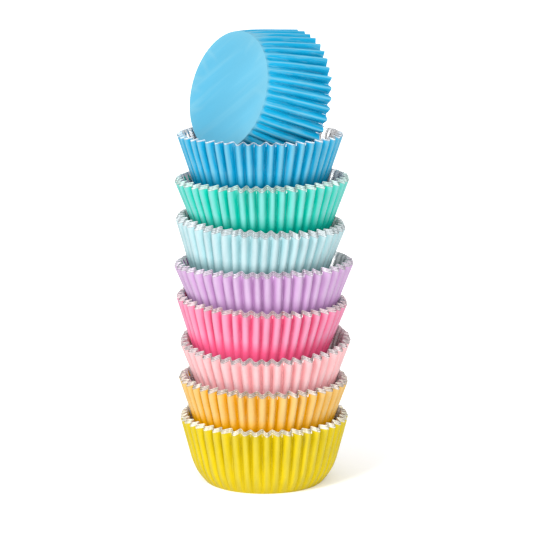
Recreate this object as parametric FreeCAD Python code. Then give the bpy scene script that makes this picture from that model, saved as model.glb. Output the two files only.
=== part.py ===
import FreeCAD, Part
import math
import os

# A free-standing tower of pleated foil baking cups. Nine small packs of one colour each stand in
# one another, and the last cup lies on its side in the mouth of the top one.
# Millimetres and degrees. +Z is up, the origin is the centre of the lowest cup's round floor.

# One cup: a flat round of foil with a plain round floor and a pleated wall.
BASE_RADIUS = 25.0      # the flat floor
SLANT = 29.2            # the wall from the floor's edge to the rim, along a ridge
FOOT_ZONE = 12.0        # the part of it next to the floor that curves, and the rest is straight
BEND = 7.5              # where along a ridge its curve is drawn as one bend
FOIL = 0.06             # thickness of the foil with its backing
PLEATS = 45             # ridges round the wall
DEPTH_GAIN = 1.14       # pressed pleats are a little deeper than a plain fold gives
WANDER = 0.09           # how far a fold strays from its even place, in folds
WANDER_WAVES = ((2.37, 1.0), (5.11, 2.0))   # per fold and per degree of turn, so no two packs match

KNOTS = (0.0, BEND, SLANT)      # lengths along a ridge between which the wall is straight
ROWS = len(KNOTS) - 1

# How cups of one colour nest, and how one pack stands in the next.
NEST_RISE = 0.65        # each cup's floor above the one it stands in
NEST_IN = 0.26          # each cup's radius, floor and rim, less than that of the one it stands in
SEAT_GAP = 0.12         # left between a pack's wall and the folds it rests on
SEAT_RANGE = (2.0, 40.0)        # where a pack's seat is searched, its rim above the rim below

# The packs from the floor up. rim: mean rim radius; oval: how much wider the rim is along X than
# the mean; foot: lean of the wall at the floor; at: the rim centre's offset in X and Y; tip: the
# pack's turn about X and about Y; turn: where the first ridge stands round the axis.
PACKS = [
    dict(name="yellow", cups=3, rim=34.53, oval=0.87, foot=43.0, at=(0.0, 0.0), tip=(0.0, 0.0), turn=0.0),
    dict(name="orange", cups=3, rim=34.7, oval=0.9, foot=26.0, at=(-0.2, 0.0), tip=(0.0, 1.0), turn=5.0),
    dict(name="light_pink", cups=3, rim=35.17, oval=0.63, foot=26.0, at=(0.5, 0.2), tip=(5.0, -0.5), turn=7.0),
    dict(name="pink", cups=3, rim=34.55, oval=1.25, foot=26.0, at=(-0.9, 0.0), tip=(0.7, 2.3), turn=2.0),
    dict(name="purple", cups=3, rim=34.97, oval=2.43, foot=28.0, at=(-0.1, 0.0), tip=(-1.0, -0.8), turn=1.0),
    dict(name="pale_blue", cups=4, rim=33.81, oval=1.59, foot=24.0, at=(-1.4, 0.0), tip=(0.6, 3.0), turn=2.0),
    dict(name="mint", cups=3, rim=33.98, oval=2.32, foot=21.0, at=(-0.9, 0.0), tip=(-0.6, -0.8), turn=6.0),
    dict(name="blue", cups=1, rim=34.1, oval=0.4, foot=19.0, at=(-1.7, 0.0), tip=(-1.0, 0.0), turn=6.0),
]

# The last cup, on its side in the mouth of the top one.
TIPPED = dict(name="tipped_blue", cups=1, rim=32.0, oval=0.0, foot=20.0, turn=0.0)
TIPPED_AXIS = (0.763, 0.580, -0.286)    # from its floor to its mouth
TIPPED_AT = (-13.0, -10.0)              # its floor's centre from the top cup's rim centre, in X and Y
TIPPED_GAP = 0.25                       # left between it and the cup that it lies in
TIPPED_RANGE = (-5.0, 40.0)             # where its rest is searched, its floor above that rim

# How finely leans, seats and rests are worked out.
LEAN_RANGE = (-30.0, 70.0)      # the walls' leans that are tried
HALVINGS = 40                   # times a range is halved
STRAIGHT = 1e-9                 # a wall that bends less than this along its foot is straight
RIM_SAMPLES = 6                 # points along each fold edge of a rim
WALL_SAMPLES = 3                # points between neighbouring folds of a wall
SEAT_STEPS = 4                  # rings of such points in each part of a wall, for a seat
REST_STEPS = 12                 # and for the last cup's rest
EDGE_SAMPLES = 16               # points along each fold of the last cup


def ridge(foot, lean, s):
    """Radius, height and lean of a ridge at length s: it curves from foot to lean, then is straight."""
    change = (lean - foot) / FOOT_ZONE
    curved = min(s, FOOT_ZONE)
    here = foot + change * curved
    r, z = BASE_RADIUS + curved * math.sin(foot), curved * math.cos(foot)
    if abs(change) > STRAIGHT:
        r = BASE_RADIUS + (math.cos(foot) - math.cos(here)) / change
        z = (math.sin(here) - math.sin(foot)) / change
    return r + (s - curved) * math.sin(lean), z + (s - curved) * math.cos(lean), here


def rim_lean(pack):
    """The lean of the wall's straight part that brings a ridge out to the rim radius."""
    foot = math.radians(pack["foot"])
    low, high = math.radians(LEAN_RANGE[0]), math.radians(LEAN_RANGE[1])
    for _ in range(HALVINGS):
        lean = 0.5 * (low + high)
        if ridge(foot, lean, SLANT)[0] < pack["rim"]:
            low = lean
        else:
            high = lean
    return 0.5 * (low + high)


def section(pack, cup, inside=False):
    """Knots of one cup's wall: for each, its length share and the ridge and valley (r, z)."""
    foot, lean = math.radians(pack["foot"]), rim_lean(pack)
    rows = []
    for s in KNOTS:
        share = s / SLANT
        r, z, here = ridge(foot, lean, s)
        half = math.pi * r / PLEATS
        depth = DEPTH_GAIN * half * math.sqrt(max(((BASE_RADIUS + s) / r) ** 2 - 1.0, 0.0))
        skin = FOIL * math.hypot(1.0, depth / half) if inside else 0.0
        r -= cup * NEST_IN
        z += cup * NEST_RISE
        crest = (r - skin * math.cos(here), z + skin * math.sin(here))
        valley = (r - (depth + skin) * math.cos(here), z + (depth + skin) * math.sin(here))
        if s == 0.0:
            crest = valley = (crest[0], z + (FOIL if inside else 0.0))
        rows.append((share, crest, valley))
    return rows


def fold_angles(pack):
    """Where the folds stand round the axis: ridges at even places of the list, valleys at odd."""
    step = math.pi / PLEATS
    start = math.radians(pack["turn"])
    stray = [sum(math.sin(by_fold * j + by_turn * pack["turn"]) for by_fold, by_turn in WANDER_WAVES)
             for j in range(2 * PLEATS)]
    return [start + step * (j + WANDER * stray[j]) for j in range(2 * PLEATS)]


def fold_point(pack, rows, row, angle, is_valley):
    share, crest, valley = rows[row]
    r, z = valley if is_valley else crest
    r += pack["oval"] * share * math.cos(2.0 * angle)
    return FreeCAD.Vector(r * math.cos(angle), r * math.sin(angle), z)


def grid(pack, cup, inside):
    """Points of one skin of a cup, row by row from the floor's edge to the rim."""
    rows = section(pack, cup, inside)
    return [[fold_point(pack, rows, row, angle, j % 2 == 1)
             for j, angle in enumerate(fold_angles(pack))] for row in range(ROWS + 1)]


def flat(points):
    return Part.Face(Part.makePolygon(points + [points[0]]))


def band(lower, upper):
    """Two flat triangles between each pair of neighbours on two rings."""
    faces = []
    count = len(lower)
    for j in range(count):
        n = (j + 1) % count
        if j % 2:
            faces += [flat([lower[j], lower[n], upper[j]]), flat([lower[n], upper[n], upper[j]])]
        else:
            faces += [flat([lower[j], lower[n], upper[n]]), flat([lower[j], upper[n], upper[j]])]
    return faces


def cup_solid(pack, cup):
    """One cup as a closed solid: outer skin, inner skin, both floors and the rim's cut edge."""
    outer, inner = grid(pack, cup, False), grid(pack, cup, True)
    faces = [flat(outer[0]), flat(inner[0])]
    for skin in (outer, inner):
        for row in range(ROWS):
            faces += band(skin[row], skin[row + 1])
    faces += band(outer[ROWS], inner[ROWS])
    solid = Part.makeSolid(Part.makeShell(faces))
    if solid.Volume < 0.0:
        solid.reverse()
    return solid


def on_line(points, z):
    """The first value of (value, height) points at height z, straight between them."""
    for (v0, z0), (v1, z1) in zip(points, points[1:]):
        if z <= z1 or (v1, z1) == points[-1]:
            return v0 + (v1 - v0) * (z - z0) / (z1 - z0)


def wall_reach(pack, rows, angles, point):
    """How far outside a cup's outer skin a point in the cup's own frame is, measured level."""
    angle = math.atan2(point.y, point.x)
    first = angles[0]
    turned = first + (angle - first) % (2.0 * math.pi)
    j = min(int((turned - first) * PLEATS / math.pi), 2 * PLEATS - 1)
    closed = angles + [first + 2.0 * math.pi]
    while j > 0 and closed[j] > turned:
        j -= 1
    while j < 2 * PLEATS - 1 and closed[j + 1] < turned:
        j += 1
    t = (turned - closed[j]) / (closed[j + 1] - closed[j])
    crest = on_line([row[1] for row in rows], point.z)
    valley = on_line([row[2] for row in rows], point.z)
    toward_valley = 1.0 - t if j % 2 else t
    r = crest + (valley - crest) * toward_valley
    share = on_line([(row[0], row[1][1]) for row in rows], point.z)
    r += pack["oval"] * share * math.cos(2.0 * angle)
    return math.hypot(point.x, point.y) - r


def between(points, parts):
    """Each point of a closed ring with the even steps to its neighbour."""
    out = []
    for a, b in zip(points, points[1:] + points[:1]):
        out += [a + (b - a) * (i / parts) for i in range(parts)]
    return out


def inner_skin_points(pack, steps):
    """Sample points all over the inside of a pack's innermost cup, from its rim down."""
    rings = grid(pack, pack["cups"] - 1, True)
    points = between(rings[ROWS], RIM_SAMPLES)
    for row in range(ROWS, 0, -1):
        for step in range(1, steps):
            share = step / steps
            ring = [a + (b - a) * share for a, b in zip(rings[row], rings[row - 1])]
            points += between(ring, WALL_SAMPLES)
    return points


def tilt_of(pack):
    turn_x = FreeCAD.Rotation(FreeCAD.Vector(1, 0, 0), pack["tip"][0])
    return turn_x.multiply(FreeCAD.Rotation(FreeCAD.Vector(0, 1, 0), pack["tip"][1]))


def rim_height(pack):
    return section(pack, 0)[ROWS][1][1]


def placed(pack, rim_z):
    """The pack's placement when the centre of its outer rim is at height rim_z."""
    rotation = tilt_of(pack)
    rim_centre = FreeCAD.Vector(pack["at"][0], pack["at"][1], rim_z)
    foot = rim_centre - rotation.multVec(FreeCAD.Vector(0, 0, rim_height(pack)))
    return FreeCAD.Placement(foot, rotation)


def lowest_clear(test, low, high):
    """Lowest height at which test still says clear, by halving."""
    for _ in range(HALVINGS):
        middle = 0.5 * (low + high)
        if test(middle):
            high = middle
        else:
            low = middle
    return high


def seated(pack, below, below_place):
    """Lowers a pack into the one below until its folds come within SEAT_GAP of the other's."""
    points = [below_place.multVec(p) for p in inner_skin_points(below, SEAT_STEPS)]
    rows, angles = section(pack, 0), fold_angles(pack)
    height = rows[ROWS][1][1]
    below_rim = below_place.multVec(FreeCAD.Vector(0, 0, rim_height(below))).z

    def clear(rim_z):
        back = placed(pack, rim_z).inverse()
        for world in points:
            p = back.multVec(world)
            if p.z < -SEAT_GAP:
                continue
            if p.z < height and wall_reach(pack, rows, angles, p) < SEAT_GAP:
                return False
        return True

    return placed(pack, lowest_clear(clear, below_rim + SEAT_RANGE[0], below_rim + SEAT_RANGE[1]))


def tipped_rest(cup, top, top_place):
    """Lowers the last cup, on its side, until it comes within TIPPED_GAP of the cup it lies in."""
    rotation = FreeCAD.Rotation(FreeCAD.Vector(0, 0, 1), FreeCAD.Vector(*TIPPED_AXIS))
    rows, angles = section(cup, 0), fold_angles(cup)
    height = rows[ROWS][1][1]
    rim_centre = top_place.multVec(FreeCAD.Vector(0, 0, rim_height(top)))
    points = [top_place.multVec(p) for p in inner_skin_points(top, REST_STEPS)]
    inner, top_angles = section(top, top["cups"] - 1, True), fold_angles(top)
    skin = grid(cup, 0, False)
    own_edges = between(skin[ROWS], RIM_SAMPLES) + between(skin[0], RIM_SAMPLES)
    for row in range(ROWS):
        for a, b in zip(skin[row], skin[row + 1]):
            own_edges += [a + (b - a) * (i / EDGE_SAMPLES) for i in range(EDGE_SAMPLES)]

    def place(z):
        foot = FreeCAD.Vector(rim_centre.x + TIPPED_AT[0], rim_centre.y + TIPPED_AT[1], z)
        return FreeCAD.Placement(foot, rotation)

    def clear(z):
        here = place(z)
        back = here.inverse()
        for world in points:
            p = back.multVec(world)
            if -TIPPED_GAP < p.z < height and wall_reach(cup, rows, angles, p) < TIPPED_GAP:
                return False
        into_top = top_place.inverse().multiply(here)
        for edge in own_edges:
            p = into_top.multVec(edge)
            if p.z < inner[0][1][1] + TIPPED_GAP:
                return False
            if p.z < inner[ROWS][1][1] and wall_reach(top, inner, top_angles, p) > -TIPPED_GAP:
                return False
        return True

    return place(lowest_clear(clear, rim_centre.z + TIPPED_RANGE[0], rim_centre.z + TIPPED_RANGE[1]))


def tower():
    """Every pack with its placement, from the floor up."""
    out = [(PACKS[0], placed(PACKS[0], rim_height(PACKS[0])))]
    for pack in PACKS[1:]:
        out.append((pack, seated(pack, *out[-1])))
    out.append((TIPPED, tipped_rest(TIPPED, *out[-1])))
    return out


def node_name(pack, cup):
    return pack["name"] + "_liner" + ("_%d" % (cup + 1) if pack["cups"] > 1 else "")


def main():
    os.makedirs("parts", exist_ok=True)
    for pack, place in tower():
        for cup in range(pack["cups"]):
            solid = cup_solid(pack, cup)
            solid.Placement = place
            solid.exportStep("parts/" + node_name(pack, cup) + ".step")


main()
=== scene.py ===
"""Pleated foil baking cups, nested by colour and stood in one another, the last one on its side."""

import math
from typing import NamedTuple

import bpy
import numpy as np
from bpy.props import EnumProperty, FloatProperty, FloatVectorProperty, IntProperty, PointerProperty
from mathutils import Euler, Matrix, Vector


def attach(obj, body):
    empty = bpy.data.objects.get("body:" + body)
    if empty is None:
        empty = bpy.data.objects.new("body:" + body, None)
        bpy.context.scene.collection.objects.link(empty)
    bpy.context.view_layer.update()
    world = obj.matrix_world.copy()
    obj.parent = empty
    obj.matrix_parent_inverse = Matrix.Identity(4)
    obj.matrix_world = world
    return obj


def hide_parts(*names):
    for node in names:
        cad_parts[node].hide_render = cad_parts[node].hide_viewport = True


bl_info = {
    "name": "Foil baking cup tower",
    "version": (1, 0, 0),
    "blender": (4, 5, 0),
    "location": "3D View > Sidebar > Baking Cups",
    "description": "Makes packs of pleated foil baking cups that stand in one another",
    "category": "Add Mesh",
}

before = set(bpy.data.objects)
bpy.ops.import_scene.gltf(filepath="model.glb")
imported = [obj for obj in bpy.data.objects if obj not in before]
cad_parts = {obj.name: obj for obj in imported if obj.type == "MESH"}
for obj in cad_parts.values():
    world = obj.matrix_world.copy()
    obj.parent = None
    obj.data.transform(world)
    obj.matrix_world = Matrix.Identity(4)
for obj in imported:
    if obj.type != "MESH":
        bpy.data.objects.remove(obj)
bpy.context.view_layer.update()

MM = 0.001


class Pack(NamedTuple):
    """One colour's nested cups, in millimetres and degrees."""

    cups: int                   # how many are nested
    rim: float                  # mean radius of the rim
    foot: float                 # the wall's lean where it leaves the floor
    seat: float                 # share of the wall that is inside the pack below
    oval: float = 0.0           # how much wider the rim is along X
    tip: tuple = (0.0, 0.0)     # turns about X and Y
    turn: float = 0.0           # where the first ridge stands round the axis
    crease: float = 1.0         # more makes the painted shade of the valleys narrower
    shade: float = 1.0          # painted shade of the wall's foot inside the pack below, over the colour of the valleys
    edge: float = 1.0           # height of the silver edge over that of the other cups
    flattened: tuple = (0.0, 1.0, 0.0)      # a smooth patch's place and breadth, and its share of the wall


# From the floor up.
PACKS = {
    "yellow": Pack(cups=3, rim=34.53, oval=0.87, foot=43.0, seat=-0.1, crease=0.60, shade=0.90),
    "orange": Pack(cups=3, rim=34.7, oval=0.9, foot=26.0, tip=(0.0, 1.0), turn=5.0, seat=0.46,
                   crease=1.3, shade=1.05),
    "light_pink": Pack(cups=3, rim=35.17, oval=0.63, foot=26.0, tip=(5.0, -0.5), turn=7.0, seat=0.45,
                       shade=1.05),
    "pink": Pack(cups=3, rim=34.55, oval=1.25, foot=26.0, tip=(0.7, 2.3), turn=2.0, seat=0.41,
                 crease=1.2, shade=1.05),
    "purple": Pack(cups=3, rim=34.97, oval=2.43, foot=28.0, tip=(-1.0, -0.8), turn=1.0, seat=0.49,
                   shade=0.80),
    "pale_blue": Pack(cups=4, rim=33.81, oval=1.59, foot=24.0, tip=(0.6, 3.0), turn=2.0, seat=0.42,
                      shade=0.60),
    "mint": Pack(cups=3, rim=33.98, oval=2.32, foot=21.0, tip=(-0.6, -0.8), turn=6.0, seat=0.42,
                 crease=0.85, shade=0.66),
    "blue": Pack(cups=1, rim=34.1, oval=0.4, foot=19.0, tip=(-1.0, 0.0), turn=6.0, seat=0.35,
                 crease=0.60, shade=0.68),
}
TIPPED = Pack(cups=1, rim=32.0, foot=20.0, seat=-0.35, crease=0.27, edge=0.25, flattened=(232.0, 12.0, 0.50))
TIPPED_AXIS = (0.763, 0.580, -0.286)        # the way that its mouth faces


class Detail(NamedTuple):
    """How finely a cup is made."""

    rows: int               # of the wall
    crowding: float         # more brings the rows closer together at the foot
    steps: int              # from a fold to the next
    rings: int              # of the floor
    spokes: int             # of the floor
    crinkle: float          # height of the floor's waves in millimetres


OUTERMOST = Detail(rows=19, crowding=1.3, steps=8, rings=12, spokes=180, crinkle=0.10)
NESTED = Detail(rows=9, crowding=1.0, steps=6, rings=4, spokes=90, crinkle=0.0)

# The camera that fits the rims' ellipses, in metres and degrees: a long lens, above the top rim.
IMAGE_WIDTH = 533
SENSOR_WIDTH = 36.0
FOCAL_PIXELS = 2674.0
CAMERA_AT = (0.001, -1.091, 0.315)
CAMERA_DIP = 11.6
CAMERA_REACH = (0.05, 60.0)     # nearest and farthest that it sees

# Suns, in degrees: how wide they look, and where they stand.
KEY_SUN = dict(spread=20.0, azimuth=-38.0, elevation=38.0)
FILL_SUN = dict(spread=22.0, azimuth=10.0, elevation=20.0)
FLOOR_REACH = 12.0              # m from the cups to its sides
FLOOR_ROUGHNESS = 0.9


class CupSizes(bpy.types.PropertyGroup):
    """One cup: a flat round of foil with a plain floor and a pleated wall."""

    base_radius: FloatProperty(
        name="Floor radius", description="Radius of the flat floor", default=25.0 * MM, unit="LENGTH")
    slant: FloatProperty(
        name="Wall length", description="Length of a ridge from the floor to the rim",
        default=29.2 * MM, unit="LENGTH")
    foot_zone: FloatProperty(
        name="Curved foot", description="Length of the wall next to the floor that curves",
        default=12.0 * MM, unit="LENGTH")
    foil: FloatProperty(
        name="Foil", description="Thickness of the foil with its backing", default=0.06 * MM, unit="LENGTH")
    pleats: IntProperty(name="Pleats", description="Ridges round the wall", default=45, min=8)
    depth_gain: FloatProperty(
        name="Pleat depth", description="Depth of the pleats over that of a plain fold", default=1.14)
    ridge_breadth: FloatProperty(
        name="Ridge breadth", description="1 is a plain zigzag; more is broad ridges and narrow valleys",
        default=2.3, min=1.0)
    wander: FloatProperty(
        name="Fold wander", description="How far a fold strays from its even place, in folds", default=0.09)
    nest_rise: FloatProperty(
        name="Nest rise", description="Each cup's floor above the one it stands in",
        default=0.65 * MM, unit="LENGTH")
    nest_in: FloatProperty(
        name="Nest inset", description="Each cup's radius less than that of the one it stands in",
        default=0.26 * MM, unit="LENGTH")
    bare_edge: FloatProperty(
        name="Bare edge", description="Height of the silver cut edge along the rim",
        default=0.60 * MM, unit="LENGTH")


def colour(name, value):
    """A lacquer colour that can be changed in the sidebar."""
    return FloatVectorProperty(name=name, description="Lacquer: " + name.lower(),
                               subtype="COLOR", size=3, min=0.0, max=1.0, default=value)


class FoilColours(bpy.types.PropertyGroup):
    """Lacquer colours in linear light: each foil along its ridges, with painted light, and deep in its
    valleys, with painted shade.
    """

    yellow: colour("Yellow ridges", (0.42, 0.34, 0.03))
    yellow_deep: colour("Yellow valleys", (0.49, 0.37, 0.00))
    orange: colour("Orange ridges", (0.52, 0.34, 0.12))
    orange_deep: colour("Orange valleys", (0.60, 0.28, 0.00))
    light_pink: colour("Light pink ridges", (0.57, 0.36, 0.37))
    light_pink_deep: colour("Light pink valleys", (0.71, 0.33, 0.34))
    pink: colour("Pink ridges", (0.53, 0.21, 0.31))
    pink_deep: colour("Pink valleys", (0.63, 0.08, 0.18))
    purple: colour("Purple ridges", (0.40, 0.28, 0.42))
    purple_deep: colour("Purple valleys", (0.41, 0.22, 0.43))
    pale_blue: colour("Pale blue ridges", (0.33, 0.44, 0.46))
    pale_blue_deep: colour("Pale blue valleys", (0.28, 0.48, 0.51))
    mint: colour("Mint ridges", (0.14, 0.41, 0.38))
    mint_deep: colour("Mint valleys", (0.00, 0.41, 0.31))
    blue: colour("Blue ridges", (0.11, 0.32, 0.43))
    blue_deep: colour("Blue valleys", (0.00, 0.24, 0.42))
    silver: colour("Silver", (0.90, 0.90, 0.91))


class StudioSettings(bpy.types.PropertyGroup):
    """Lights and floor."""

    floor_shade: FloatProperty(name="Floor", description="Brightness of the floor", default=0.9)
    key: FloatProperty(name="Key light", description="Strength of the main light", default=2.8)
    fill: FloatProperty(name="Fill light", description="Strength of the second light", default=2.2)
    sky: FloatProperty(name="Surround", description="Strength of the white surround", default=1.0)


def sizes():
    """The sizes of a cup as they are set in the scene."""
    return bpy.context.scene.baking_cup_sizes


# Shape of the wall

LEAN_LIMITS = (-30.0, 70.0)     # degrees, with the lean of every straight wall between them
HALVINGS = 40                   # of the space between the limits
STRAIGHT = 1e-9                 # a change of lean under this is none
NO_LENGTH = 1e-12               # a normal under this is none

# Unevenness from fold to fold: its size, how fast it changes round the wall, and where it starts.
RIM_WAVE = (0.22, 1.9, 0.5)     # mm of the wall's length, the same for all the cups of a pack
CUT_WAVE = (0.12, 3.3, 4.0)     # mm of the wall's length, each cup's own
DEPTH_WAVE = (0.06, 2.9, 1.5)   # share of the pleats' depth
DENT_WAVE = (0.10, 0.9, 2.5)    # mm of the rim's radius
SWAY_WAVE = (0.10, 1.3, 3.5)    # folds that a fold has swayed by at the rim
BEATING_WAVES = ((0.6, 1.0, 1.0), (0.4, 1.83, 2.2))     # share, rate and start of each
STRAY_WAVES = ((2.37, 1.0), (5.11, 2.0))                # rate and start of each

CUT_SHORTER = 0.05              # mm from each cup's wall to that of the next one in
MEAN_DEPTH = 0.95               # of the pleats, over that of the folds' own geometry
FLATTENED_BY = 0.8              # share of the pleats' depth that is gone in a flattened patch
OPENS_FROM = 0.86               # the pleats round out over the rest of the wall, up to the rim
OPENS_BY = 0.22                 # share of their depth that they lose there
SOFT_FOOT = 0.07                # the valleys' painted shade sets in over this share of the wall


def ridge_line(pack, rim_lean, length):
    """Radius, height and lean at lengths along a ridge: it curves along its foot, then is straight."""
    base = sizes().base_radius / MM
    zone = sizes().foot_zone / MM
    foot = math.radians(pack.foot)
    change = (rim_lean - foot) / zone
    curved = np.minimum(length, zone)
    straight = length - curved
    lean = foot + change * curved
    if abs(change) > STRAIGHT:
        radius = base + (math.cos(foot) - np.cos(lean)) / change
        height = (np.sin(lean) - math.sin(foot)) / change
    else:
        radius = base + curved * math.sin(foot)
        height = curved * math.cos(foot)
    return radius + straight * math.sin(rim_lean), height + straight * math.cos(rim_lean), lean


def lean_at_rim(pack):
    """The lean of the straight wall that takes a ridge to the rim's radius."""
    low, high = np.radians(LEAN_LIMITS)
    for _ in range(HALVINGS):
        lean = 0.5 * (low + high)
        if ridge_line(pack, lean, sizes().slant / MM)[0] < pack.rim:
            low = lean
        else:
            high = lean
    return lean


def fold_angles(pack):
    """Where the folds stand round the axis: ridges at even places, valleys at odd ones."""
    j = np.arange(2 * sizes().pleats)
    stray = sum(np.sin(rate * j + start * pack.turn) for rate, start in STRAY_WAVES)
    return math.radians(pack.turn) + math.pi / sizes().pleats * (j + sizes().wander * stray)


def uneven(pack, wave, cup=0):
    """A gentle unevenness with one value for each fold."""
    size, rate, start = wave
    rate = rate + cup
    start = start + cup + pack.turn
    j = np.arange(2 * sizes().pleats)
    return size * sum(share * np.sin(faster * rate * j + later * start)
                      for share, faster, later in BEATING_WAVES)


def round_from(angles, degrees):
    """Angles as seen from a place round the axis, between half a turn back and half a turn on."""
    return np.angle(np.exp(1j * (angles - math.radians(degrees))))


def flattening(pack, shares):
    """How flattened each fold is, at most 1: only a pack with a flattened patch has any."""
    place, breadth, reach = pack.flattened
    if reach == 0.0:
        return np.zeros((len(shares), 2 * sizes().pleats))
    away = round_from(fold_angles(pack), place) / math.radians(breadth)
    return np.exp(-away ** 2) * np.clip(1.0 - shares / reach, 0.0, 1.0)


def opening(shares):
    """How far the pleats have rounded out: not at all along most of the wall, and 1 at the rim."""
    return np.clip((shares - OPENS_FROM) / (1.0 - OPENS_FROM), 0.0, 1.0) ** 2


def fold_lines(pack, cup, shares):
    """Radius, height and angle of every fold at shares of the wall, in millimetres and radians."""
    base = sizes().base_radius / MM
    own = uneven(pack, CUT_WAVE, cup) - CUT_SHORTER * cup
    length = shares * (sizes().slant / MM + uneven(pack, RIM_WAVE) + own)
    radius, height, lean = ridge_line(pack, lean_at_rim(pack), length)
    half_pleat = math.pi * radius / sizes().pleats
    depth = sizes().depth_gain * half_pleat * np.sqrt(np.maximum(((base + length) / radius) ** 2 - 1.0, 0.0))
    depth *= MEAN_DEPTH + uneven(pack, DEPTH_WAVE)
    depth *= 1.0 - FLATTENED_BY * flattening(pack, shares)
    depth *= 1.0 - OPENS_BY * opening(shares)
    radius = radius - cup * sizes().nest_in / MM + shares * uneven(pack, DENT_WAVE)
    height = height + cup * sizes().nest_rise / MM
    is_valley = np.arange(2 * sizes().pleats) % 2 == 1
    radius = np.where(is_valley, radius - depth * np.cos(lean), radius)
    height = np.where(is_valley, height + depth * np.sin(lean), height)
    angle = fold_angles(pack) + shares * math.pi / sizes().pleats * uneven(pack, SWAY_WAVE)
    return radius, height, angle


def between_folds(values, mix):
    """Values that go from each fold's own to the next fold's."""
    following = np.roll(values, -1, axis=1)
    return values[:, :, None] + (following - values)[:, :, None] * mix


def wall_points(pack, cup, shares, steps):
    """A cup's outer skin, rows by columns, with steps columns a fold: points in millimetres, angles round
    the axis, and how much painted valley shade each point gets."""
    rows = len(shares)
    shares = shares[:, None]
    radius, height, angle = fold_lines(pack, cup, shares)
    is_valley = (np.arange(2 * sizes().pleats) % 2 == 1)[:, None]
    along = np.arange(steps) / steps
    toward_valley = np.where(is_valley, 1.0 - along, along)
    pressed = toward_valley ** sizes().ridge_breadth
    rounded = 0.5 - 0.5 * np.cos(math.pi * toward_valley)
    crest_to_valley = pressed + (rounded - pressed) * opening(shares)[:, :, None]
    mix = np.where(is_valley, 1.0 - crest_to_valley, crest_to_valley)
    turn_to_next = (np.roll(angle, -1, axis=1) - angle) % (2.0 * math.pi)
    theta = (angle[:, :, None] + turn_to_next[:, :, None] * along).reshape(rows, -1)
    r = between_folds(radius, mix).reshape(rows, -1) + pack.oval * shares * np.cos(2.0 * theta)
    z = between_folds(height, mix).reshape(rows, -1)
    # Painted shade of the valleys: none at the floor, setting in up the wall, and less where the pleats are
    # flattened.
    sets_in = np.clip(shares / SOFT_FOOT, 0.0, 1.0) * (1.0 - flattening(pack, shares))
    valley_shade_share = (sets_in[:, :, None] * pressed ** pack.crease).reshape(rows, -1)
    return np.stack([r * np.cos(theta), r * np.sin(theta), z], axis=2), theta, valley_shade_share


def skin_normals(points):
    """Outward unit normals of a ring-shaped grid of points."""
    around = np.roll(points, -1, axis=1) - np.roll(points, 1, axis=1)
    normal = np.cross(around, np.gradient(points, axis=0))
    return normal / np.maximum(np.linalg.norm(normal, axis=2, keepdims=True), NO_LENGTH)


def ring_faces(rows, columns, flip=False):
    """Quads of a ring-shaped grid."""
    i, j = np.meshgrid(np.arange(rows - 1), np.arange(columns), indexing="ij")
    here = i * columns
    above = here + columns
    following = (j + 1) % columns
    quads = np.stack([here + j, here + following, above + following, above + j], axis=2).reshape(-1, 4)
    return quads[:, ::-1] if flip else quads


# Shape of the floor

FLOOR_CREASES = (98.0, 108.0, 121.0, 137.0, 150.0, 168.0, 236.0, 262.0, 301.0)     # degrees round the axis
CREASE_BREADTH = 0.9            # mm
CREASE_SWING = 0.35             # radians that a crease turns by over the floor's radius
CREASE_PIVOT = 0.8              # share of the floor's radius where it crosses its own angle
CREASE_FROM = 0.60              # share of the floor's radius where the first one begins
CREASE_STAGGER = 0.03           # how much farther out each next one of a group does
CREASE_GROUP = 4
CREASE_SETS_IN = 0.25           # share of the floor's radius over which it reaches its full height
CREASE_HEIGHT = 2.0             # over that of the floor's waves

# Height, count, and swing and count of their bends.
RIPPLES = ((1.0, 3.0, 1.7, 2.0), (0.6, 7.0, 2.0, 3.0))
SECOND_RIPPLE_START = 1.0       # radians
RIPPLE_HEIGHT = 6.0             # they have at most 0.08 of it, near the wall
SWELL = (0.5, 0.32, 0.6)        # height, radians a millimetre, and the way it runs in radians

FLOOR_PAINTED_SHADE = 0.16               # painted shade: how far the floor's colour is toward that of the valleys
FLOOR_SHADE_SWING = (0.07, 1.9)  # more painted shade on one side: how much more, and the way to it in radians
# Painted highlights by the floor's edge and along its creases.
FLOOR_EDGE_HIGHLIGHT = 0.12
CREASE_HIGHLIGHT = 0.14
EDGE_POWER = 8                  # more keeps the edge's painted highlight and its own height nearer to the edge
HUB = 0.02                      # share of the floor's radius at its innermost ring


def floor_creasing(theta, r, share):
    """How creased each point of the floor is."""
    creased = np.zeros_like(r * theta)
    for k, degrees in enumerate(FLOOR_CREASES):
        bend = CREASE_SWING * (share - CREASE_PIVOT) * (-1.0) ** k
        away = round_from(theta - bend, degrees) * r / CREASE_BREADTH
        begins = CREASE_FROM + CREASE_STAGGER * (k % CREASE_GROUP)
        creased += np.exp(-away ** 2) * np.clip((share - begins) / CREASE_SETS_IN, 0.0, 1.0)
    return creased


def floor_waves(pack, theta, r, share):
    """Height of the floor's waves: uneven ripples by the wall, and a low swell across the middle."""
    starts = (pack.turn, SECOND_RIPPLE_START)
    ripple = sum(size * np.sin(count * theta + swing * np.sin(bends * theta) + start)
                 for (size, count, swing, bends), start in zip(RIPPLES, starts))
    size, rate, toward = SWELL
    swell = size * np.sin(rate * r * np.cos(theta - toward))
    return RIPPLE_HEIGHT * ripple * share ** 4 * (1.0 - share) + swell * (1.0 - share ** 6)


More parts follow.
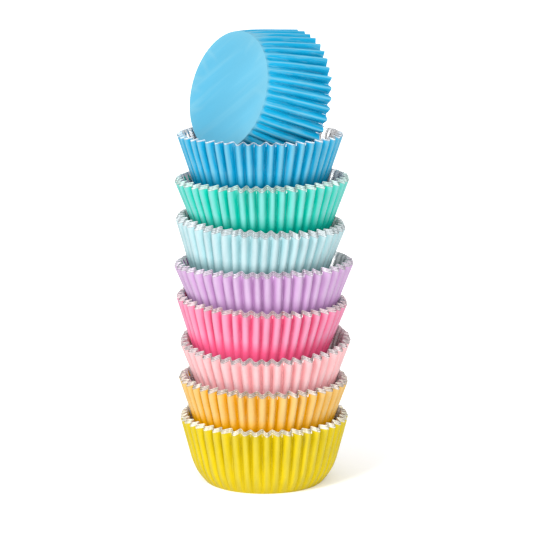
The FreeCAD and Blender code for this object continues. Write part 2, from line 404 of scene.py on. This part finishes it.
def floor_points(pack, cup, detail, lift):
    """Rings of a cup's round floor, from near the centre out to the wall, with soft creases, and how much
    painted shade each point has: more on one side, and less under the painted highlights along the creases
    and by the edge."""
    base = (sizes().base_radius - cup * sizes().nest_in) / MM
    theta = np.linspace(0.0, 2.0 * math.pi, detail.spokes, endpoint=False)[None, :]
    share = np.linspace(HUB, 1.0, detail.rings)[:, None]
    r = base * share
    creased = floor_creasing(theta, r, share)
    rise = floor_waves(pack, theta, r, share) + CREASE_HEIGHT * creased * (1.0 - share ** EDGE_POWER)
    z = cup * sizes().nest_rise / MM + lift + detail.crinkle * rise
    # Painted shade over the floor, more on one side, and less under the painted highlights by the edge and
    # along the creases.
    swing, toward = FLOOR_SHADE_SWING
    deep = FLOOR_PAINTED_SHADE + swing * np.cos(theta - toward) * share
    deep = deep - FLOOR_EDGE_HIGHLIGHT * share ** EDGE_POWER - CREASE_HIGHLIGHT * creased
    return np.stack([r * np.cos(theta), r * np.sin(theta), z], axis=2), np.clip(deep, 0.0, 1.0)


# Cups

LACQUER, SILVER, EDGE = 0, 1, 2
MAP_RADIUS = 30.0       # mm, at which the wall is unrolled into the foil's map
RIM_ON_MAP = 0.3        # mm across the foil's thickness, drawn wider than it is
MAP_SCALE = 0.1         # the foil's map is in centimetres
FLOOR_MAP = 0.12        # the floor's creases are this much broader than the wall's
FLOOR_ABOVE_SEAT = 0.5  # the floor has none of the foot's painted shade
RING_SPREAD = 0.005     # mm of height within which points are in the same ring
RING_DIGITS = 7         # decimals of a metre at which two points are the same


class Skin(NamedTuple):
    """A ring-shaped grid of foil. The flat map is in millimetres; the fold map is how much painted shade
    each point has, from the valleys or across a floor, and how far up it is from the mouth of the pack
    below."""

    points: np.ndarray
    quads: np.ndarray
    slot: object                # one material for all the quads, or one for each
    flat: np.ndarray
    fold: np.ndarray


def pairs(first, second):
    """Two grids of values, one of them in a single row or column, as a grid of pairs."""
    return np.stack(np.broadcast_arrays(first, second), axis=2)


def wall_skins(pack, cup, detail):
    """Lacquered outer skin with its bare edge, silver inner skin, and the cut across the foil."""
    slant = sizes().slant / MM
    thickness = sizes().foil / MM
    edge_from = 1.0 - pack.edge * sizes().bare_edge / MM / slant
    shares = np.append(edge_from * np.linspace(0.0, 1.0, detail.rows) ** detail.crowding, 1.0)
    outer, theta, valley_shade_share = wall_points(pack, cup, shares, detail.steps)
    inner = outer - skin_normals(outer) * thickness
    narrower = 1.0 - thickness / (sizes().base_radius / MM)
    inner[0] = outer[0] * (narrower, narrower, 1.0) + (0.0, 0.0, thickness)

    flat = pairs(np.unwrap(theta, axis=1) * MAP_RADIUS, shares[:, None] * slant)
    fold = pairs(valley_shade_share, (shares[:, None] - pack.seat) / (1.0 - pack.seat))
    rows, columns = theta.shape
    quads = ring_faces(rows, columns)
    in_edge = quads.min(axis=1) >= (rows - 2) * columns
    return [
        Skin(outer, quads, np.where(in_edge, EDGE, LACQUER), flat, fold),
        Skin(inner, ring_faces(rows, columns, flip=True), SILVER, flat, fold),
        Skin(np.stack([outer[-1], inner[-1]]), ring_faces(2, columns), EDGE,
             np.stack([flat[-1], flat[-1] + RIM_ON_MAP]), fold[-2:]),
    ]


def floor_skin(pack, cup, detail, lift, slot, flip):
    """One side of a cup's floor, closed at its centre."""
    disc, deep = floor_points(pack, cup, detail, lift)
    disc = np.concatenate([disc[:1] * (0.0, 0.0, 1.0), disc])
    deep = np.concatenate([np.full_like(deep[:1], deep[0].mean()), deep])
    rows, columns = deep.shape
    return Skin(disc, ring_faces(rows, columns, flip), slot, FLOOR_MAP * disc[:, :, :2],
                pairs(deep, np.full_like(deep, FLOOR_ABOVE_SEAT)))


def add_mesh(name, skins, place):
    """An object from skins, with its place in its mesh and their two maps as UV layers."""
    starts = np.cumsum([0] + [skin.points.size // 3 for skin in skins])
    verts = np.concatenate([skin.points.reshape(-1, 3) for skin in skins]) * MM
    verts = verts @ np.array(place.to_3x3()).T + np.array(place.translation)
    faces = np.concatenate([skin.quads + start for skin, start in zip(skins, starts)])
    slots = np.concatenate([np.broadcast_to(skin.slot, len(skin.quads)) for skin in skins])
    maps = {
        "foil": MAP_SCALE * np.concatenate([skin.flat.reshape(-1, 2) for skin in skins]),
        "fold": np.concatenate([skin.fold.reshape(-1, 2) for skin in skins]),
    }
    mesh = bpy.data.meshes.new(name)
    mesh.vertices.add(len(verts))
    mesh.loops.add(faces.size)
    mesh.polygons.add(len(faces))
    mesh.vertices.foreach_set("co", verts.astype(np.float32).ravel())
    mesh.loops.foreach_set("vertex_index", faces.astype(np.int32).ravel())
    mesh.polygons.foreach_set("loop_start", np.arange(len(faces), dtype=np.int32) * 4)
    mesh.polygons.foreach_set("material_index", slots.astype(np.int32))
    mesh.polygons.foreach_set("use_smooth", np.ones(len(faces), dtype=bool))
    for layer_name, values in maps.items():
        layer = mesh.uv_layers.new(name=layer_name)
        layer.data.foreach_set("uv", values[faces.ravel()].astype(np.float32).ravel())
    mesh.update(calc_edges=True)
    mesh.validate()
    obj = bpy.data.objects.new(name, mesh)
    bpy.context.collection.objects.link(obj)
    return obj


def cup_object(name, pack, cup, place, detail):
    """One cup: its wall and both sides of its floor."""
    skins = wall_skins(pack, cup, detail)
    skins.append(floor_skin(pack, cup, detail, 0.0, LACQUER, flip=True))
    skins.append(floor_skin(pack, cup, detail, sizes().foil / MM, SILVER, flip=False))
    return add_mesh(name, skins, place)


def floor_ring(points):
    """Centre of the lowest ring among points in a cup's own frame."""
    ring = points[points[:, 2] < points[:, 2].min() + RING_SPREAD * MM]
    return np.unique(ring.round(RING_DIGITS), axis=0).mean(axis=0)


def place_of(node, pack, rotation):
    """Where the cup of a node stands: its turn is known, and its floor ring gives the rest."""
    vertices = np.array([v.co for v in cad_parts[node].data.vertices], float)
    turned = vertices @ np.array(rotation.to_3x3())
    angles = fold_angles(pack)
    even = sizes().base_radius * np.array([np.cos(angles).mean(), np.sin(angles).mean(), 0.0])
    return Matrix.Translation(rotation.to_3x3() @ Vector(floor_ring(turned) - even)) @ rotation


def pack_rotation(tip):
    """How a pack is tilted, from its turns about X and Y in degrees."""
    about_x, about_y = (math.radians(angle) for angle in tip)
    return Matrix.Rotation(about_x, 4, "X") @ Matrix.Rotation(about_y, 4, "Y")


# Foils

# Noise in the foil's map: how fine it is across and along the pleats, and its detail.
FINE_CREASES = (14.0, 2.2, 5.0)
BROAD_DENTS = (3.0, 1.6, 2.0)
PALE_LINES = (15.0, 0.9, 4.0)
PATCHES = (4.0, 0.8, 3.0)
SATIN_RUB = (9.0, 2.0, 3.0)
STREAKS = (12.0, 3.0, 5.0)
SILVER_RUB = (20.0, 6.0, 3.0)
NOISE_ROUGHNESS = 0.6

# Where colours begin and end to change: on the noise, from a ridge's painted light to a valley's painted
# shade, up the wall out of the foot's painted shade, and up a cut edge from painted shade to a painted
# highlight.
NOISE_SPAN = (0.3, 0.7)
LINE_SPAN = (0.50, 0.72)
STREAK_SPAN = (0.38, 0.62)
VALLEY_SPAN = (0.0, 0.48)
FOOT_SPAN = (0.0, 0.30)
CUT_SPAN = (0.970, 0.996)

LINE_TONE = 0.75                # how strong the painted highlights along the fine creases of the pleats are
PATCH_TONES = (0.87, 1.0)
SATIN_ROUGHNESS = (0.36, 0.50)
SATIN_METAL = 0.15
SATIN_SPECULAR = 0.12
SATIN_BUMP = (0.60, 0.12 * MM)
CUT_TONES = (0.45, 0.95)        # painted shade low on a cut edge, and a painted highlight at the cut
EDGE_TINT = 0.22               # share of the lacquer's colour in the silver of its cut edge


class Finish(NamedTuple):
    """One finish of bare silver foil."""

    dullest: float              # tone of its darkest streaks
    roughness: tuple
    bump: tuple                 # strength and height of its creases
    metal: float
    is_cut: bool


INSIDE = Finish(dullest=0.78, roughness=(0.18, 0.38), bump=(0.4, 0.15 * MM), metal=0.6, is_cut=False)
CUT_EDGE = Finish(dullest=0.55, roughness=(0.58, 0.80), bump=(0.9, 0.15 * MM), metal=0.85, is_cut=True)


def grey(value):
    """An opaque grey."""
    return (value, value, value, 1.0)


def toned(rgb, tone=1.0):
    """An opaque colour, made lighter or darker by tone."""
    return tuple(tone * c for c in rgb) + (1.0,)


def shader_nodes(name):
    """A new material, its node tree and its shader."""
    material = bpy.data.materials.new(name)
    material.use_nodes = True
    tree = material.node_tree
    return material, tree, tree.nodes["Principled BSDF"]


def add_node(tree, kind, **inputs):
    """A node whose inputs get values, or links where a socket is given."""
    node = tree.nodes.new(kind)
    for key, value in inputs.items():
        if isinstance(value, bpy.types.NodeSocket):
            tree.links.new(value, node.inputs[key])
        else:
            node.inputs[key].default_value = value
    return node


def map_of(tree, layer_name):
    """Where a point is on one of the mesh's maps."""
    node = tree.nodes.new("ShaderNodeUVMap")
    node.uv_map = layer_name
    return node.outputs["UV"]


def fold_map(tree, side):
    """The fold map: X is the share of painted valley shade, Y how far up from the mouth of the pack below.
    """
    return add_node(tree, "ShaderNodeSeparateXYZ", Vector=map_of(tree, "fold")).outputs[side]


def noise(tree, grain):
    """Noise in the foil's own map, drawn out along the pleats."""
    across, along, detail = grain
    scaled = add_node(tree, "ShaderNodeMapping", Vector=map_of(tree, "foil"), Scale=(across, along, 1.0))
    return add_node(tree, "ShaderNodeTexNoise", Vector=scaled.outputs["Vector"], Scale=1.0,
                    Detail=detail, Roughness=NOISE_ROUGHNESS).outputs["Fac"]


def ramp(tree, source, span, first, second):
    """The colour first below a span of values, second above it, and a blend between."""
    node = add_node(tree, "ShaderNodeValToRGB", Fac=source)
    for element, position, value in zip(node.color_ramp.elements, span, (first, second)):
        element.position = position
        element.color = value
    return node.outputs["Color"]


def mixed(tree, share, first, second, blend="MIX"):
    """The colour first with a share of second mixed in, or multiplied by it."""
    node = add_node(tree, "ShaderNodeMixRGB", Fac=share, Color1=first, Color2=second)
    node.blend_type = blend
    return node.outputs["Color"]


def rubbed(tree, grain, roughness):
    """Uneven roughness between two values."""
    smoothest, roughest = roughness
    return ramp(tree, noise(tree, grain), NOISE_SPAN, grey(smoothest), grey(roughest))


def crinkle_bump(tree, shader, bump):
    """Fine creases along the pleats with a few broader dents under them."""
    strength, height = bump
    total = add_node(tree, "ShaderNodeMath")
    total.operation = "ADD"
    tree.links.new(noise(tree, FINE_CREASES), total.inputs[0])
    tree.links.new(noise(tree, BROAD_DENTS), total.inputs[1])
    creased = add_node(tree, "ShaderNodeBump", Height=total.outputs["Value"], Strength=strength,
                       Distance=height)
    tree.links.new(creased.outputs["Normal"], shader.inputs["Normal"])


def lacquered_foil(name, crest, valley, shade):
    """Coloured satin foil: painted light along the ridges, painted shade in the valleys and at the foot,
    pale painted highlights along fine creases, and uneven where it was pressed."""
    material, tree, shader = shader_nodes(name)
    # Painted light on the ridges and painted shade in the valleys.
    ridge_light_valley_shade = ramp(tree, fold_map(tree, "X"), VALLEY_SPAN, toned(crest), toned(valley))
    # Pale painted highlights along fine creases.
    lines = ramp(tree, noise(tree, PALE_LINES), LINE_SPAN, grey(0.0), grey(LINE_TONE))
    with_crease_highlights = mixed(tree, lines, ridge_light_valley_shade, toned(crest))
    # Painted shade at the foot, where the wall stands in the pack below.
    above_foot = ramp(tree, fold_map(tree, "Y"), FOOT_SPAN, grey(0.0), grey(1.0))
    with_foot_shade = mixed(tree, above_foot, toned(valley, shade), with_crease_highlights)
    darkest, lightest = PATCH_TONES
    patches = ramp(tree, noise(tree, PATCHES), NOISE_SPAN, grey(darkest), grey(lightest))
    tree.links.new(mixed(tree, 1.0, with_foot_shade, patches, "MULTIPLY"), shader.inputs["Base Color"])
    tree.links.new(rubbed(tree, SATIN_RUB, SATIN_ROUGHNESS), shader.inputs["Roughness"])
    shader.inputs["Metallic"].default_value = SATIN_METAL
    shader.inputs["Specular IOR Level"].default_value = SATIN_SPECULAR
    crinkle_bump(tree, shader, SATIN_BUMP)
    return material


def silver_foil(name, tint, finish):
    """Bare bright foil with fine pressed lines; along an edge it has a painted highlight at the cut and
    painted shade below.
    """
    material, tree, shader = shader_nodes(name)
    silver = ramp(tree, noise(tree, STREAKS), STREAK_SPAN, toned(tint, finish.dullest), toned(tint))
    if finish.is_cut:
        # Painted shade low on a cut edge, rising to a painted highlight at the cut.
        low, high = CUT_TONES
        cut = ramp(tree, fold_map(tree, "Y"), CUT_SPAN, grey(low), grey(high))
        silver = mixed(tree, 1.0, silver, cut, "MULTIPLY")
    tree.links.new(silver, shader.inputs["Base Color"])
    tree.links.new(rubbed(tree, SILVER_RUB, finish.roughness), shader.inputs["Roughness"])
    shader.inputs["Metallic"].default_value = finish.metal
    crinkle_bump(tree, shader, finish.bump)
    return material


def foils(colour_name):
    """The three materials of a cup; the silver inside is shared by all the cups."""
    colours = bpy.context.scene.foil_colours
    crest = getattr(colours, colour_name)
    valley = getattr(colours, colour_name + "_deep")
    shade = PACKS[colour_name].shade
    tinted_silver = [silver * ((1.0 - EDGE_TINT) + EDGE_TINT * c / max(valley))
               for silver, c in zip(colours.silver, valley)]
    wanted = (
        (colour_name + "_lacquer", lambda n: lacquered_foil(n, crest, valley, shade)),
        ("silver_inside", lambda n: silver_foil(n, colours.silver, INSIDE)),
        (colour_name + "_edge", lambda n: silver_foil(n, tinted_silver, CUT_EDGE)),
    )
    return [bpy.data.materials.get(name) or make(name) for name, make in wanted]


def finish_cup(obj, node, colour_name):
    """Gives a cup its foils, hides the node that it stands for, and attaches the cup to the root body."""
    for material in foils(colour_name):
        obj.data.materials.append(material)
    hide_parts(node)
    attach(obj, "root")


class BAKINGCUPS_OT_pack(bpy.types.Operator):
    """Makes one colour's nested cups where the pack stands"""

    bl_idname = "baking_cups.pack"
    bl_label = "Pack of Cups"

    pack: EnumProperty(name="Pack", description="Which colour to make",
                       items=[(key, key.replace("_", " ").capitalize(), "") for key in PACKS])

    def execute(self, context):
        pack = PACKS[self.pack]
        rotation = pack_rotation(pack.tip)
        for cup in range(pack.cups):
            number = "_%d" % (cup + 1) if pack.cups > 1 else ""
            node = self.pack + "_liner" + number
            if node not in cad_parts:
                raise RuntimeError("the model has no cup called " + node)
            if cup == 0:
                place = place_of(node, pack, rotation)
            detail = OUTERMOST if cup == 0 else NESTED
            obj = cup_object(self.pack + "_cup" + number, pack, cup, place, detail)
            finish_cup(obj, node, self.pack)
        return {"FINISHED"}


class BAKINGCUPS_OT_tipped(bpy.types.Operator):
    """Makes the last cup, on its side in the mouth of the top one"""

    bl_idname = "baking_cups.tipped"
    bl_label = "Tipped Cup"

    def execute(self, context):
        turn = Vector((0.0, 0.0, 1.0)).rotation_difference(Vector(TIPPED_AXIS)).to_matrix().to_4x4()
        place = place_of("tipped_blue_liner", TIPPED, turn)
        obj = cup_object("tipped_blue_cup", TIPPED, 0, place, OUTERMOST)
        finish_cup(obj, "tipped_blue_liner", "blue")
        return {"FINISHED"}


def add_floor(shade):
    """The studio floor, far wider than the picture."""
    mesh = bpy.data.meshes.new("studio_floor")
    far = FLOOR_REACH
    mesh.from_pydata([(-far, -far, 0.0), (far, -far, 0.0), (far, far, 0.0), (-far, far, 0.0)],
                     [], [(0, 1, 2, 3)])
    floor = bpy.data.objects.new("studio_floor", mesh)
    bpy.context.collection.objects.link(floor)
    material, _, shader = shader_nodes("studio_floor")
    shader.inputs["Base Color"].default_value = grey(shade)
    shader.inputs["Roughness"].default_value = FLOOR_ROUGHNESS
    mesh.materials.append(material)


def add_sun(name, strength, spread, azimuth, elevation):
    """Even light over the whole floor; spread is the lamp's width as seen from the cups."""
    data = bpy.data.lights.new(name, "SUN")
    data.energy = strength
    data.angle = math.radians(spread)
    lamp = bpy.data.objects.new(name, data)
    lamp.rotation_euler = Euler((math.radians(90.0 - elevation), 0.0, math.radians(azimuth)), "XYZ")
    bpy.context.collection.objects.link(lamp)


def add_surround(strength):
    """Even white light from all round."""
    world = bpy.data.worlds.new("studio")
    bpy.context.scene.world = world
    world.use_nodes = True
    background = world.node_tree.nodes["Background"]
    background.inputs["Color"].default_value = grey(1.0)
    background.inputs["Strength"].default_value = strength


def add_camera():
    """The camera, level from side to side and turned down by its dip."""
    data = bpy.data.cameras.new("camera")
    data.sensor_width = SENSOR_WIDTH
    data.lens = SENSOR_WIDTH * FOCAL_PIXELS / IMAGE_WIDTH
    data.clip_start, data.clip_end = CAMERA_REACH
    camera = bpy.data.objects.new("camera", data)
    camera.location = CAMERA_AT
    camera.rotation_euler = Euler((math.radians(90.0 - CAMERA_DIP), 0.0, 0.0), "XYZ")
    bpy.context.collection.objects.link(camera)
    bpy.context.scene.camera = camera


class BAKINGCUPS_OT_stage(bpy.types.Operator):
    """Makes the pale floor, the soft lights and the camera"""

    bl_idname = "baking_cups.stage"
    bl_label = "Floor, Lights and Camera"

    def execute(self, context):
        settings = context.scene.baking_cup_studio
        add_floor(settings.floor_shade)
        add_surround(settings.sky)
        add_sun("key", settings.key, **KEY_SUN)
        add_sun("fill", settings.fill, **FILL_SUN)
        add_camera()
        context.scene.view_settings.view_transform = "Standard"
        return {"FINISHED"}


class BAKINGCUPS_PT_panel(bpy.types.Panel):
    """Lists the makers of the cups and the studio"""

    bl_label = "Baking Cups"
    bl_idname = "BAKINGCUPS_PT_panel"
    bl_space_type = "VIEW_3D"
    bl_region_type = "UI"
    bl_category = "Baking Cups"

    def draw(self, context):
        layout = self.layout
        scene = context.scene
        for group in (scene.baking_cup_sizes, scene.foil_colours, scene.baking_cup_studio):
            box = layout.box()
            for key in group.__annotations__:
                box.prop(group, key)
        for key in PACKS:
            layout.operator(BAKINGCUPS_OT_pack.bl_idname, text=key.replace("_", " ").capitalize()).pack = key
        layout.operator(BAKINGCUPS_OT_tipped.bl_idname)
        layout.operator(BAKINGCUPS_OT_stage.bl_idname)


CLASSES = (CupSizes, FoilColours, StudioSettings, BAKINGCUPS_OT_pack, BAKINGCUPS_OT_tipped,
           BAKINGCUPS_OT_stage, BAKINGCUPS_PT_panel)


def register():
    for cls in CLASSES:
        bpy.utils.register_class(cls)
    bpy.types.Scene.baking_cup_sizes = PointerProperty(type=CupSizes)
    bpy.types.Scene.foil_colours = PointerProperty(type=FoilColours)
    bpy.types.Scene.baking_cup_studio = PointerProperty(type=StudioSettings)


def unregister():
    del bpy.types.Scene.baking_cup_studio
    del bpy.types.Scene.foil_colours
    del bpy.types.Scene.baking_cup_sizes
    for cls in reversed(CLASSES):
        bpy.utils.unregister_class(cls)


def main():
    register()
    for key in PACKS:
        bpy.ops.baking_cups.pack(pack=key)
    bpy.ops.baking_cups.tipped()
    bpy.ops.baking_cups.stage()


if __name__ == "__main__":
    main()
